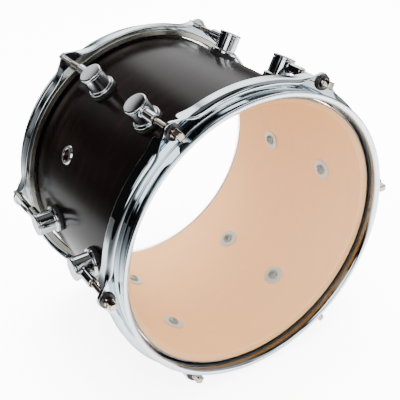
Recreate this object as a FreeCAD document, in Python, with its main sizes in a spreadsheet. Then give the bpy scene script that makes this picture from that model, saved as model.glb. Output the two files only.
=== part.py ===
import FreeCAD, Part
import os
import re
import Sketcher

# A ten inch tom drum, lying on its side as it rests on its two hoops, in millimetres.
# The drum's axis runs along Y, the batter head faces -Y, and the floor is at Z = 0 under the middle.
# Places along the axis are depths: how far inward from the crest of the nearer bearing edge.

SIZES = {
    # Shell: a bent maple tube with a bearing edge at each end
    "shell_radius": 126.5,
    "shell_wall": 5.0,
    "shell_length": 202.0,
    "edge_land": 1.0,
    "edge_outer_cut": 0.8,
    # Vent: a chromed grommet through the shell, half way between two lug lines
    "vent_place": 30.9,
    "vent_bore_radius": 5.0,
    "grommet_wall": 0.7,
    "grommet_fit": 0.05,
    "grommet_flange_width": 3.3,
    "grommet_flange_height": 1.6,
    "grommet_lip_width": 1.5,
    "grommet_lip_height": 0.8,
    "grommet_ring_width": 2.9,
    "grommet_ring_height": 1.2,
    # Hoops: pressed steel, with a collar, a rolled rim, a flange on the head and an outer skirt
    "hoop_sheet": 2.3,
    "collar_gap": 2.1,
    "rim_width": 5.5,
    "rim_rise": 9.5,
    "flange_depth": 7.5,
    "skirt_gap": 3.2,
    "skirt_length": 10.5,
    "hoop_bend": 2.0,
    "skirt_bend": 3.4,
    "hoop_edge_round": 1.0,
    # Ears of the hoops, where the tension rods pass
    "ear_radius": 7.6,
    "ear_sweep": 60.0,
    "ear_foot_sink": 2.0,
    "ear_slot_width": 21.0,
    "ear_hole_clearance": 0.6,
    # Heads: polyester film locked with resin in an aluminium channel
    "batter_ply": 0.18,
    "resonant_ply": 0.25,
    "film_shoulder_gap": 0.7,
    "film_shoulder_ease": 0.1,
    "film_turn_gap": 1.2,
    "film_turn_drop": 0.9,
    "film_tail_drop": 0.5,
    "film_tail_inset": 2.2,
    "film_tail_stop": 1.4,
    "channel_gap": 1.7,
    "channel_width": 5.8,
    "channel_wall": 0.8,
    "channel_height": 6.5,
    "channel_inner_drop": 1.8,
    "resin_drop": 0.3,
    # Lugs: cast barrels with a base flange, a cap and a tube for the rod
    "batter_lug_depth": 57.5,
    "resonant_lug_depth": 62.5,
    "gasket_thickness": 2.6,
    "lug_body_radius": 10.0,
    "lug_height": 22.8,
    "lug_flange_width": 2.4,
    "lug_flange_height": 2.6,
    "lug_cap_overhang": 0.4,
    "lug_cap_height": 2.8,
    "lug_round": 0.8,
    "lug_cap_round": 1.2,
    "tube_wall": 0.92,
    "tube_reach": 27.0,
    "tube_lip": 1.2,
    "tube_bore_clearance": 0.35,
    "tube_bore_end": 4.0,
    # Threaded nuts held in the lugs' tubes
    "nut_wall": 1.0,
    "nut_length": 14.0,
    "nut_fit": 0.03,
    "thread_fit": 0.05,
    # Lug screws, driven from inside the shell
    "screw_radius": 2.3,
    "screw_fit": 0.03,
    "screw_reach": 8.0,
    "screw_head_width": 2.7,
    "screw_head_height": 3.0,
    "screw_hole_clearance": 0.3,
    "screw_washer_width": 5.0,
    "screw_washer_height": 1.0,
    # Tension rods, with their washers on the ears
    "rod_offset": 2.5,
    "rod_radius": 2.4,
    "rod_tip_gap": 7.8,
    "rod_flange_width": 1.8,
    "rod_flange_height": 1.8,
    "rod_head_width": 6.3,
    "rod_head_height": 7.5,
    "washer_clearance": 0.3,
    "steel_washer_width": 3.9,
    "steel_washer_height": 1.2,
    "nylon_washer_width": 4.2,
    "nylon_washer_height": 1.2,
    # How far a cut runs past what it cuts
    "overrun": 2.0,
}

DERIVED = {
    # Vent
    "grommet_radius": "vent_bore_radius + grommet_wall",
    "grommet_hole_radius": "grommet_radius + grommet_fit",
    "grommet_flange_radius": "grommet_radius + grommet_flange_width",
    "grommet_lip_radius": "grommet_radius + grommet_lip_width",
    "grommet_ring_radius": "grommet_radius + grommet_ring_width",
    # Heads and hoops, from the shell outwards
    "collar_radius": "shell_radius + collar_gap",
    "rim_radius": "collar_radius + rim_width",
    "channel_inner_radius": "shell_radius + channel_gap",
    "channel_outer_radius": "channel_inner_radius + channel_width",
    "skirt_inner_radius": "channel_outer_radius + skirt_gap",
    "hoop_radius": "skirt_inner_radius + hoop_sheet",
    "rod_circle": "hoop_radius + rod_offset",
    "ear_foot_radius": "hoop_radius - ear_foot_sink",
    "ear_sweep_circle": "ear_foot_radius + ear_sweep",
    "ear_sweep_out": "(ear_sweep_circle^2 - (ear_radius + ear_sweep)^2 + rod_circle^2) / (2 * rod_circle)",
    "ear_sweep_across": "sqrt(ear_sweep_circle^2 - ear_sweep_out^2)",
    "ear_hole_radius": "rod_radius + ear_hole_clearance",
    "flange_top": "flange_depth - hoop_sheet",
    "skirt_depth": "flange_depth + skirt_length",
    "channel_depth": "flange_depth + channel_height",
    "channel_inner_top": "flange_depth + channel_inner_drop",
    "resin_top": "channel_inner_top + resin_drop",
    "film_shoulder_radius": "shell_radius + film_shoulder_gap",
    "film_shoulder_depth": "edge_outer_cut + film_shoulder_gap - film_shoulder_ease",
    "film_turn_radius": "shell_radius + film_turn_gap",
    "film_turn_depth": "flange_depth + film_turn_drop",
    "film_tail_radius": "channel_inner_radius + film_tail_inset",
    "film_tail_top": "film_turn_depth + film_tail_drop",
    "film_tail_depth": "channel_depth - film_tail_stop",
    # Lugs, nuts and screws
    "lug_flange_radius": "lug_body_radius + lug_flange_width",
    "lug_cap_radius": "lug_body_radius + lug_cap_overhang",
    "nut_bore_radius": "rod_radius + thread_fit",
    "nut_radius": "nut_bore_radius + nut_wall",
    "tube_radius": "nut_radius + nut_fit + tube_wall",
    "tube_bore_radius": "rod_radius + tube_bore_clearance",
    "screw_hole_radius": "screw_radius + screw_hole_clearance",
    "screw_head_radius": "screw_radius + screw_head_width",
    "screw_washer_radius": "screw_head_radius + screw_washer_width",
    # Rods and their washers
    "rod_flange_radius": "rod_radius + rod_flange_width",
    "washer_bore_radius": "rod_radius + washer_clearance",
    "steel_washer_radius": "washer_bore_radius + steel_washer_width",
    "nylon_washer_radius": "washer_bore_radius + nylon_washer_width",
}

LUGS_AN_END = 6
LUG_STEP = 360 / LUGS_AN_END
FIRST_LUG_ANGLE = LUG_STEP / 2
VENT_ANGLE = 300
ENDS = {"batter": -1, "resonant": 1}
Y_AXIS = FreeCAD.Vector(0, 1, 0)

doc = FreeCAD.newDocument("tom_drum")
sheet = doc.addObject("Spreadsheet::Sheet", "Sizes")
cells = {alias: str(value) for alias, value in SIZES.items()}
cells.update({alias: "=" + formula for alias, formula in DERIVED.items()})
for row, (alias, content) in enumerate(cells.items(), start=1):
    sheet.set(f"A{row}", alias)
    sheet.setAlias(f"B{row}", alias)
    sheet.set(f"B{row}", content)
doc.recompute()

nodes = []


def bound(text):
    """The expression, with the name of each size pointed at its cell in the sheet."""
    return re.sub(r"[a-z]\w*", lambda word: "Sizes." + word[0] if word[0] in cells else word[0], text)


def size(text):
    """The number that an expression of sizes gives."""
    return float(sheet.evalExpression(bound(text)))


def along(side, depth):
    """The place on the drum's axis that lies at a depth from the bearing edge of one end."""
    return f"{side} * (shell_length / 2 - ({depth}))"


def new_body(name, angle=0, place="0"):
    """A body whose Z points out from the drum's axis at an angle from straight up."""
    body = doc.addObject("PartDesign::Body", name)
    body.Label = name
    body.AllowCompound = True
    body.Placement = FreeCAD.Placement(FreeCAD.Vector(), FreeCAD.Rotation(Y_AXIS, angle))
    body.setExpression("Placement.Base.y", bound(place))
    body.setExpression("Placement.Base.z", bound("hoop_radius"))
    nodes.append(body)
    return body


def new_sketch(body, name, role, lift="0", across="0", turn=0):
    """A sketch on one of the body's origin planes, lifted off it, shifted across it and turned."""
    drawing = body.newObject("Sketcher::SketchObject", name)
    planes = {feature.Role: feature for feature in body.Origin.OriginFeatures}
    drawing.AttachmentSupport = [(planes[role], "")]
    drawing.MapMode = "FlatFace"
    drawing.AttachmentOffset = FreeCAD.Placement(
        FreeCAD.Vector(), FreeCAD.Rotation(FreeCAD.Vector(1, 0, 0), turn))
    drawing.setExpression("AttachmentOffset.Base.y", bound(across))
    drawing.setExpression("AttachmentOffset.Base.z", bound(lift))
    return drawing


def place_point(drawing, geometry, end, across, up):
    """Ties a point of the sketch to the origin by two sizes."""
    for direction, text in (("DistanceX", across), ("DistanceY", up)):
        tie = Sketcher.Constraint(direction, -1, 1, geometry, end, size(text))
        drawing.setExpression(f"Constraints[{drawing.addConstraint(tie)}]", bound(text))


def draw_outline(drawing, points):
    """A closed outline of straight lines through points given as pairs of expressions."""
    places = [FreeCAD.Vector(size(across), size(up), 0) for across, up in points]
    lines = [Part.LineSegment(a, b) for a, b in zip(places, places[1:] + places[:1])]
    first = drawing.GeometryCount
    drawing.addGeometry(lines, False)
    last = len(points) - 1
    drawing.addConstraint([
        Sketcher.Constraint("Coincident", first + i, 2, first + (i + 1 if i < last else 0), 1)
        for i in range(len(points))])
    for i, (across, up) in enumerate(points):
        place_point(drawing, first + i, 1, across, up)


def draw_circle(drawing, across, up, radius):
    """A circle with its centre and radius tied to sizes."""
    centre = FreeCAD.Vector(size(across), size(up), 0)
    index = drawing.addGeometry(Part.Circle(centre, FreeCAD.Vector(0, 0, 1), size(radius)), False)
    place_point(drawing, index, 3, across, up)
    tie = Sketcher.Constraint("Radius", index, size(radius))
    drawing.setExpression(f"Constraints[{drawing.addConstraint(tie)}]", bound(radius))


def turn_outline(body, name, points, role="YZ_Plane", axis="H_Axis", kind="Revolution", **where):
    """A solid, or a cut, turned from an outline about an axis of its own sketch."""
    drawing = new_sketch(body, name + "_outline", role, **where)
    draw_outline(drawing, points)
    feature = body.newObject("PartDesign::" + kind, name)
    feature.Profile = drawing
    feature.ReferenceAxis = (drawing, [axis])
    feature.Angle = 360
    drawing.Visibility = False
    return feature


def push_sketch(body, name, drawing, length=None, kind="Pad", backwards=False, both_ways=False):
    """A pad or a pocket of a sketch, of a given length, or through all where none is given."""
    feature = body.newObject("PartDesign::" + kind, name)
    feature.Profile = drawing
    feature.Reversed = backwards
    feature.Midplane = both_ways
    if length is None:
        feature.Type = "ThroughAll"
    else:
        feature.setExpression("Length", bound(length))
    return feature


def repeat_round(body, name, features):
    """Copies of features at each lug line round the drum's axis."""
    pattern = body.newObject("PartDesign::PolarPattern", name)
    pattern.Originals = features
    axes = {feature.Role: feature for feature in body.Origin.OriginFeatures}
    pattern.Axis = (axes["Y_Axis"], [""])
    pattern.Angle = 360
    pattern.Occurrences = LUGS_AN_END
    body.Tip = pattern
    return pattern


def round_circles(body, name, feature, circles, radius):
    """A fillet on the circular edges of a feature that have the given radii and places on the axis."""
    doc.recompute()
    picked = []
    for index, edge in enumerate(feature.Shape.Edges, start=1):
        if not isinstance(edge.Curve, Part.Circle):
            continue
        place = edge.Curve.Center
        for circle_radius, at, direction in circles:
            offset = place.dot(direction) - size(at)
            if abs(edge.Curve.Radius - size(circle_radius)) + abs(offset) < Part.Precision.confusion():
                picked.append(f"Edge{index}")
    fillet = body.newObject("PartDesign::Fillet", name)
    fillet.Base = (feature, picked)
    fillet.setExpression("Radius", bound(radius))
    return fillet


def make_shell():
    """The shell: a tube with a bearing edge at each end, and holes for the lug screws and the vent."""
    body = new_body("shell")
    inner = "shell_radius - shell_wall"
    land_out = "shell_radius - edge_outer_cut"
    land_in = "shell_radius - edge_outer_cut - edge_land"
    inner_cut = "shell_wall - edge_outer_cut - edge_land"
    half_outline = [(inner_cut, inner), ("0", land_in), ("0", land_out), ("edge_outer_cut", "shell_radius")]
    points = [(along(-1, depth), radius) for depth, radius in half_outline]
    points += [(along(1, depth), radius) for depth, radius in reversed(half_outline)]
    turn_outline(body, "shell_tube", points)
    drawing = new_sketch(body, "screw_holes_outline", "YZ_Plane")
    for end, side in ENDS.items():
        draw_circle(drawing, along(side, f"{end}_lug_depth"), "0", "screw_hole_radius")
    holes = push_sketch(body, "screw_holes", drawing, kind="Pocket", backwards=True)
    repeat_round(body, "all_screw_holes", [holes])
    drawing = new_sketch(body, "vent_hole_outline", "YZ_Plane", turn=VENT_ANGLE - 90)
    draw_circle(drawing, "vent_place", "0", "grommet_hole_radius")
    push_sketch(body, "vent_hole", drawing, kind="Pocket", backwards=True)


def make_vent():
    """The grommet, with its flange outside and a rolled lip inside, and the ring that the lip holds."""
    inside = "sqrt((shell_radius - shell_wall)^2 - grommet_ring_radius^2)"
    ring_low = f"{inside} - grommet_ring_height"
    grommet = new_body("vent_grommet", VENT_ANGLE, "vent_place")
    turn_outline(grommet, "grommet_turned", [
        ("vent_bore_radius", f"{ring_low} - grommet_lip_height"),
        ("grommet_lip_radius", f"{ring_low} - grommet_lip_height"),
        ("grommet_lip_radius", ring_low),
        ("grommet_radius", ring_low),
        ("grommet_radius", "shell_radius"),
        ("grommet_flange_radius", "shell_radius"),
        ("grommet_flange_radius", "shell_radius + grommet_flange_height / 2"),
        ("grommet_radius", "shell_radius + grommet_flange_height"),
        ("vent_bore_radius", "shell_radius + grommet_flange_height"),
    ], role="XZ_Plane", axis="V_Axis")
    ring = new_body("vent_grommet_ring", VENT_ANGLE, "vent_place")
    turn_outline(ring, "ring_turned", [
        ("grommet_hole_radius", ring_low),
        ("grommet_ring_radius", ring_low),
        ("grommet_ring_radius", inside),
        ("grommet_hole_radius", inside),
    ], role="XZ_Plane", axis="V_Axis")


def draw_ear(drawing):
    """An ear's outline in plan: an arc about the rod, which two hollow arcs sweep out to the hoop."""
    foot_share = "ear_foot_radius / ear_sweep_circle"
    foot_out = f"ear_sweep_out * {foot_share}"
    foot_across = f"ear_sweep_across * {foot_share}"
    rod = FreeCAD.Vector(size("rod_circle"), 0, 0)
    centre = FreeCAD.Vector(size("ear_sweep_out"), size("ear_sweep_across"), 0)
    touch = rod + (centre - rod) * size("ear_radius / (ear_radius + ear_sweep)")
    foot = centre * size(foot_share)
    waist = centre + ((touch + foot) / 2 - centre).normalize() * size("ear_sweep")
    touch_low, foot_low, waist_low = (FreeCAD.Vector(p.x, -p.y, 0) for p in (touch, foot, waist))
    drawing.addGeometry([
        Part.Arc(touch_low, rod + FreeCAD.Vector(size("ear_radius"), 0, 0), touch),
        Part.Arc(foot, waist, touch),
        Part.Arc(touch_low, waist_low, foot_low),
        Part.LineSegment(foot, foot_low)], False)
    drawing.addConstraint([
        Sketcher.Constraint("Tangent", 0, 2, 1, 2),
        Sketcher.Constraint("Tangent", 0, 1, 2, 1),
        Sketcher.Constraint("Coincident", 1, 1, 3, 1),
        Sketcher.Constraint("Coincident", 2, 2, 3, 2)])
    place_point(drawing, 0, 3, "rod_circle", "0")
    place_point(drawing, 1, 1, foot_out, foot_across)
    place_point(drawing, 2, 2, foot_out, f"-({foot_across})")
    for arc, radius in enumerate(("ear_radius", "ear_sweep", "ear_sweep")):
        tie = Sketcher.Constraint("Radius", arc, size(radius))
        drawing.setExpression(f"Constraints[{drawing.addConstraint(tie)}]", bound(radius))


def make_hoop(end, side):
    """A hoop: collar, rolled rim, flange and skirt in one sheet, with six ears for the rods and a slot in
    the skirt under each ear."""
    body = new_body(end + "_hoop")
    wall = "collar_radius + hoop_sheet"
    rim_under = "hoop_sheet - rim_rise"
    outline = [
        ("-rim_rise", "collar_radius"), ("-rim_rise", "rim_radius"), (rim_under, "rim_radius"),
        (rim_under, wall), ("flange_top", wall), ("flange_top", "hoop_radius"),
        ("skirt_depth", "hoop_radius"), ("skirt_depth", "skirt_inner_radius"),
        ("flange_depth", "skirt_inner_radius"), ("flange_depth", "collar_radius")]
    turned = turn_outline(body, end + "_hoop_turned",
                          [(along(side, depth), radius) for depth, radius in outline])
    bends = [("collar_radius", "-rim_rise"), ("collar_radius", "flange_depth")]
    bent = round_circles(body, end + "_hoop_bends", turned,
                         [(radius, along(side, depth), Y_AXIS) for radius, depth in bends], "hoop_bend")
    bent = round_circles(body, end + "_skirt_bend", bent,
                         [("hoop_radius", along(side, "flange_top"), Y_AXIS)], "skirt_bend")
    edges = [("rim_radius", "-rim_rise"), ("rim_radius", rim_under),
             ("hoop_radius", "skirt_depth"), ("skirt_inner_radius", "skirt_depth")]
    round_circles(body, end + "_hoop_edges", bent,
                  [(radius, along(side, depth), Y_AXIS) for radius, depth in edges], "hoop_edge_round")
    outward = side > 0
    ear = new_sketch(body, end + "_ear_outline", "XZ_Plane", lift=f"-({along(side, 'flange_top')})")
    draw_ear(ear)
    plate = push_sketch(body, end + "_ear", ear, "hoop_sheet", backwards=not outward)
    gap = new_sketch(body, end + "_ear_slot_outline", "XZ_Plane", lift=f"-({along(side, 'flange_depth')})")
    low, high = "-ear_slot_width / 2", "ear_slot_width / 2"
    draw_outline(gap, [("channel_outer_radius", low), ("rod_circle", low),
                       ("rod_circle", high), ("channel_outer_radius", high)])
    slot = push_sketch(body, end + "_ear_slot", gap, "skirt_length + overrun", kind="Pocket",
                       backwards=outward)
    bore = new_sketch(body, end + "_ear_hole_outline", "XZ_Plane", lift=f"-({along(side, 'flange_depth')})")
    draw_circle(bore, "rod_circle", "0", "ear_hole_radius")
    hole = push_sketch(body, end + "_ear_hole", bore, "hoop_sheet + overrun", kind="Pocket",
                       backwards=not outward)
    repeat_round(body, end + "_ears", [plate, slot, hole])


def film_path(ply, layers):
    """The line of a film's face: flat over the drum, over the bearing edge and down into the channel."""
    raised = f"{ply} * {layers}"
    return [
        (f"-({raised})", "0"),
        (f"-({raised})", f"shell_radius - edge_outer_cut + {raised}"),
        (f"film_shoulder_depth - {raised}", f"film_shoulder_radius + {raised}"),
        (f"film_turn_depth - {raised}", f"film_turn_radius + {raised}"),
        (f"film_tail_top - {raised}", f"film_tail_radius + {raised}"),
        ("film_tail_depth", f"film_tail_radius + {raised}")]


def make_head(end, side, ply, films):
    """A head: its film plies, the channel that holds them and the resin that locks them there."""
    for layer, name in enumerate(films):
        outline = film_path(ply, layer) + film_path(ply, layer + 1)[::-1]
        turn_outline(new_body(name), name + "_turned",
                     [(along(side, depth), radius) for depth, radius in outline])
    inner = "channel_inner_radius + channel_wall"
    outer = "channel_outer_radius - channel_wall"
    floor = "channel_depth - channel_wall"
    channel = [
        ("channel_inner_top", "channel_inner_radius"), ("channel_depth", "channel_inner_radius"),
        ("channel_depth", "channel_outer_radius"), ("flange_depth", "channel_outer_radius"),
        ("flange_depth", outer), (floor, outer), (floor, inner), ("channel_inner_top", inner)]
    turn_outline(new_body(end + "_flesh_hoop"), end + "_channel_turned",
                 [(along(side, depth), radius) for depth, radius in channel])
    tail_out = f"film_tail_radius + {ply} * {len(films)}"
    resin = [
        ("resin_top", inner), (floor, inner), (floor, outer), ("resin_top", outer), ("resin_top", tail_out),
        ("film_tail_depth", tail_out), ("film_tail_depth", "film_tail_radius"),
        ("resin_top", "film_tail_radius")]
    turn_outline(new_body(end + "_resin"), end + "_resin_turned",
                 [(along(side, depth), radius) for depth, radius in resin])


def make_lug(end, side, number):
    """A lug: a barrel with a base flange and a cap, and a tube towards the hoop that holds a nut."""
    name = f"{end}_lug_{number + 1}"
    body = new_body(name, FIRST_LUG_ANGLE + LUG_STEP * number, along(side, f"{end}_lug_depth"))
    base = "shell_radius + gasket_thickness"
    top = "shell_radius + lug_height"
    thread = "screw_radius + screw_fit"
    barrel = turn_outline(body, name + "_barrel", [
        (thread, base),
        ("lug_flange_radius", base),
        ("lug_flange_radius", f"{base} + lug_flange_height"),
        ("lug_body_radius", f"{base} + lug_flange_height"),
        ("lug_body_radius", f"{top} - lug_cap_height"),
        ("lug_cap_radius", f"{top} - lug_cap_height"),
        ("lug_cap_radius", top),
        ("0", top),
        ("0", f"{base} + screw_reach"),
        (thread, f"{base} + screw_reach"),
    ], role="XZ_Plane", axis="V_Axis")
    upward = FreeCAD.Vector(0, 0, 1)
    flange_face = f"{base} + lug_flange_height"
    rounded = round_circles(body, name + "_rounds", barrel, [
        ("lug_flange_radius", flange_face, upward), ("lug_body_radius", flange_face, upward)], "lug_round")
    round_circles(body, name + "_cap_round", rounded, [("lug_cap_radius", top, upward)], "lug_cap_round")
    drawing = new_sketch(body, name + "_tube_outline", "XZ_Plane")
    draw_circle(drawing, "0", "rod_circle", "tube_radius")
    push_sketch(body, name + "_tube", drawing, "tube_reach", backwards=side > 0)
    nut_seat = "nut_radius + nut_fit"
    shoulder = "tube_reach - tube_lip"
    bore = [
        ("tube_reach + overrun", "0"), ("tube_reach + overrun", "tube_bore_radius"),
        (shoulder, "tube_bore_radius"), (shoulder, nut_seat),
        (f"{shoulder} - nut_length", nut_seat), (f"{shoulder} - nut_length", "tube_bore_radius"),
        ("tube_bore_end", "tube_bore_radius"), ("tube_bore_end", "0")]
    turn_outline(body, name + "_bore", [(f"{side} * ({at})", radius) for at, radius in bore],
                 kind="Groove", across="rod_circle")


def make_round_group(name, points, **how):
    """A group of like pieces, one at each lug line, turned from one outline."""
    body = new_body(name, FIRST_LUG_ANGLE)
    piece = turn_outline(body, name + "_turned", points, **how)
    repeat_round(body, name + "_all", [piece])
    return body


def make_lug_fixings(end, side):
    """What holds the lugs of one end: gaskets, nuts, screws and washers, one at each lug line."""
    lug_depth = end + "_lug_depth"
    at_lug = {"role": "XZ_Plane", "axis": "V_Axis", "lift": f"-({along(side, lug_depth)})"}
    base = "shell_radius + gasket_thickness"
    gaskets = make_round_group(end + "_lug_gaskets", [
        ("screw_hole_radius", "shell_radius - overrun"), ("lug_flange_radius", "shell_radius - overrun"),
        ("lug_flange_radius", base), ("screw_hole_radius", base)], **at_lug)
    drawing = new_sketch(gaskets, end + "_gasket_seat_outline", "XZ_Plane")
    draw_circle(drawing, "0", "0", "shell_radius")
    push_sketch(gaskets, end + "_gasket_seat", drawing, kind="Pocket", both_ways=True)
    wall = "shell_radius - shell_wall"
    washer_top = f"sqrt(({wall})^2 - screw_washer_radius^2)"
    washer_low = f"{washer_top} - screw_washer_height"
    make_round_group(end + "_screw_washers", [
        ("screw_hole_radius", washer_low), ("screw_washer_radius", washer_low),
        ("screw_washer_radius", washer_top), ("screw_hole_radius", washer_top)], **at_lug)
    make_round_group(end + "_lug_screws", [
        ("0", f"{washer_low} - screw_head_height"),
        ("screw_head_radius", f"{washer_low} - screw_head_height"),
        ("screw_head_radius", washer_low),
        ("screw_radius", washer_low),
        ("screw_radius", f"{base} + screw_reach"),
        ("0", f"{base} + screw_reach")], **at_lug)
    mouth = f"{lug_depth} - tube_reach + tube_lip"
    make_round_group(end + "_lug_nuts", [
        (along(side, mouth), "nut_bore_radius"), (along(side, f"{mouth} + nut_length"), "nut_bore_radius"),
        (along(side, f"{mouth} + nut_length"), "nut_radius"), (along(side, mouth), "nut_radius")],
        across="rod_circle")


def make_washers(end, side):
    """The washers on the ears of one hoop: nylon on the ear, steel on the nylon."""
    nylon_top = "flange_top - nylon_washer_height"
    layers = {"nylon": ("flange_top", nylon_top), "steel": (nylon_top, f"{nylon_top} - steel_washer_height")}
    for kind, (low, high) in layers.items():
        make_round_group(f"{end}_{kind}_washers", [
            (along(side, low), "washer_bore_radius"), (along(side, high), "washer_bore_radius"),
            (along(side, high), f"{kind}_washer_radius"), (along(side, low), f"{kind}_washer_radius")],
            across="rod_circle")


def make_rod(end, side, number):
    """A tension rod: a round shank with a flange and a square head for the drum key."""
    name = f"{end}_rod_{number + 1}"
    body = new_body(name, FIRST_LUG_ANGLE + LUG_STEP * number)
    seat = "flange_top - nylon_washer_height - steel_washer_height"
    face = f"{seat} - rod_flange_height"
    tip = f"{end}_lug_depth - rod_tip_gap"
    turn_outline(body, name + "_shank", [
        (along(side, face), "0"), (along(side, face), "rod_flange_radius"),
        (along(side, seat), "rod_flange_radius"), (along(side, seat), "rod_radius"),
        (along(side, tip), "rod_radius"), (along(side, tip), "0")],
        across="rod_circle")
    drawing = new_sketch(body, name + "_head_outline", "XZ_Plane", lift=f"-({along(side, face)})")
    half = "rod_head_width / 2"
    draw_outline(drawing, [
        (f"-({half})", f"rod_circle - {half}"), (half, f"rod_circle - {half}"),
        (half, f"rod_circle + {half}"), (f"-({half})", f"rod_circle + {half}")])
    push_sketch(body, name + "_head", drawing, "rod_head_height", backwards=side > 0)


make_shell()
make_vent()
for end, side in ENDS.items():
    make_hoop(end, side)
    make_lug_fixings(end, side)
    make_washers(end, side)
    for number in range(LUGS_AN_END):
        make_lug(end, side, number)
        make_rod(end, side, number)
make_head("batter", ENDS["batter"], "batter_ply", ["batter_film_inner", "batter_film_outer"])
make_head("resonant", ENDS["resonant"], "resonant_ply", ["resonant_film"])

doc.recompute()
faults = [item.Name for item in doc.Objects if "Invalid" in item.State or "Error" in item.State]
faults += [node.Label for node in nodes if node.Shape.isNull() or not node.Shape.isValid()]
if faults:
    raise RuntimeError("failed: " + ", ".join(faults))

os.makedirs("parts", exist_ok=True)
for node in nodes:
    node.Shape.exportStep(f"parts/{node.Label}.step")
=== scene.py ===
import math
import bmesh
import bpy
import numpy as np
from mathutils import Matrix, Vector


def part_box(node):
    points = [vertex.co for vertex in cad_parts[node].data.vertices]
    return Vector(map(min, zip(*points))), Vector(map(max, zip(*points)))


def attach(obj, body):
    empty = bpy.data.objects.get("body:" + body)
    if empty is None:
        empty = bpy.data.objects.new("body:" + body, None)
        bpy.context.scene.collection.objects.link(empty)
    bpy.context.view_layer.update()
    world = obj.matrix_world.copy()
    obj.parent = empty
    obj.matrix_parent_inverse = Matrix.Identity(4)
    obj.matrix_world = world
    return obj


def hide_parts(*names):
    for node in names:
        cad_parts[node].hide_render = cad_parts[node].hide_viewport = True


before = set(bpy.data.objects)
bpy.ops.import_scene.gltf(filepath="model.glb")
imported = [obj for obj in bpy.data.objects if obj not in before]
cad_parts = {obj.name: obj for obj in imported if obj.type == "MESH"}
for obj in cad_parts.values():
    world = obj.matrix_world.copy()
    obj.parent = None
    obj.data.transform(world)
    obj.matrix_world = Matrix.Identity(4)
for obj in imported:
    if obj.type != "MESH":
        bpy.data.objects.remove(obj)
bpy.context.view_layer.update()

# Camera: a short tele lens that looks down on the batter head from the front left.
# Its place and turn come from circles fitted to the drum's own hoops and edges.
view = bpy.data.cameras.new("view")
view.lens = 63.14
view.sensor_width = 36.0
camera = bpy.data.objects.new("view", view)
right = (0.84077, -0.53822, -0.05858)
up = (0.32838, 0.42094, 0.84559)
back = (-0.43046, -0.73018, 0.53065)
stand = (-0.29058, -0.50048, 0.49056)
camera.matrix_world = Matrix([*zip(right, up, back, stand), (0, 0, 0, 1)])
bpy.context.scene.collection.objects.link(camera)
bpy.context.scene.camera = camera


# Studio: a white paper floor under a wide soft light, in a dark room with soft bright panels, the widest of
# them to the back right. The chrome takes its contrast from this room and from pools of light painted on the
# paper, which is painted dim further out; to the camera the paper is plain white.
def add_node(tree, kind, inputs=None, **settings):
    """One node of a tree: its settings, and its inputs as plain values or as other nodes' outputs."""
    made = tree.nodes.new(kind)
    for name, value in settings.items():
        setattr(made, name, value)
    for name, value in (inputs or {}).items():
        if isinstance(value, bpy.types.NodeSocket):
            tree.links.new(value, made.inputs[name])
        else:
            made.inputs[name].default_value = value
    return made


def add_math(tree, operation, *values):
    """The output of one math node."""
    return add_node(tree, "ShaderNodeMath", dict(enumerate(values)), operation=operation).outputs[0]


def soft_step(tree, value, low, high):
    """A value that goes smoothly from 0 at low to 1 at high."""
    return add_node(tree, "ShaderNodeMapRange", {"Value": value, "From Min": low, "From Max": high},
                    interpolation_type="SMOOTHSTEP").outputs["Result"]


world = bpy.data.worlds.new("studio")
world.use_nodes = True
bpy.context.scene.world = world
room = world.node_tree
gaze = add_node(room, "ShaderNodeTexCoord").outputs["Generated"]
heading = add_node(room, "ShaderNodeSeparateXYZ", {0: gaze}).outputs
turn = add_math(room, "DEGREES", add_math(room, "ARCTAN2", heading["X"], heading["Y"]))
rise = add_math(room, "DEGREES", add_math(room, "ARCSINE", heading["Z"]))
dark_room, lit_ceiling, soft_fill, white_paper = 0.006, 0.14, 3.2, 14.0
ceiling_start, ceiling_full = 60, 74
# A panel's strength, then the degrees over which it comes in and goes out, in turn and in rise
panels = (
    (3.0, (6, 20), (92, 62), (-2, 20), (62, 45)),
    (1.0, (-26, -16), (22, 6), (8, 20), (39, 26)),
    (3.2, (-172, -166), (-124, -131), (9, 13), (52, 44)),
    (1.6, (-110, -105), (-92, -97), (27, 31), (46, 40)),
    (0.5, (62, 92), (140, 130), (-95, -90), (62, 45)),
    (4.5, (126, 138), (180, 172), (-14, -8), (9, 3)),
    (0.07, (126, 138), (180, 172), (3, 9), (30, 27)),
    (2.6, (138, 144), (166, 160), (27, 29), (39, 34)),
    (3.0, (157, 161), (178, 173), (13, 17), (33, 28)),
    (0.22, (-36, -32), (-16, -22), (-4, 2), (12, 8)))
ceiling = soft_step(room, rise, ceiling_start, ceiling_full)
room_light = add_math(room, "MULTIPLY_ADD", ceiling, lit_ceiling, dark_room)
for strength, turn_in, turn_out, rise_in, rise_out in panels:
    width = add_math(room, "MULTIPLY", soft_step(room, turn, *turn_in), soft_step(room, turn, *turn_out))
    height = add_math(room, "MULTIPLY", soft_step(room, rise, *rise_in), soft_step(room, rise, *rise_out))
    panel = add_math(room, "MULTIPLY", width, height)
    room_light = add_math(room, "MULTIPLY_ADD", panel, strength, room_light)
sight = add_node(room, "ShaderNodeLightPath").outputs
mirrored = add_node(room, "ShaderNodeMix", {
    "Factor": sight["Is Glossy Ray"], "A": soft_fill, "B": room_light}).outputs["Result"]
seen = add_node(room, "ShaderNodeMix", {
    "Factor": sight["Is Camera Ray"], "A": mirrored, "B": white_paper}).outputs["Result"]
backdrop = room.nodes["Background"]
backdrop.inputs["Color"].default_value = (1, 1, 1, 1)
room.links.new(seen, backdrop.inputs["Strength"])

floor_reach, floor_drop = 3.0, -0.0005
far_paper_shade, pool_fall, seen_white, seen_glow = 0.04, 4.0, 1.6, 5.5
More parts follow.
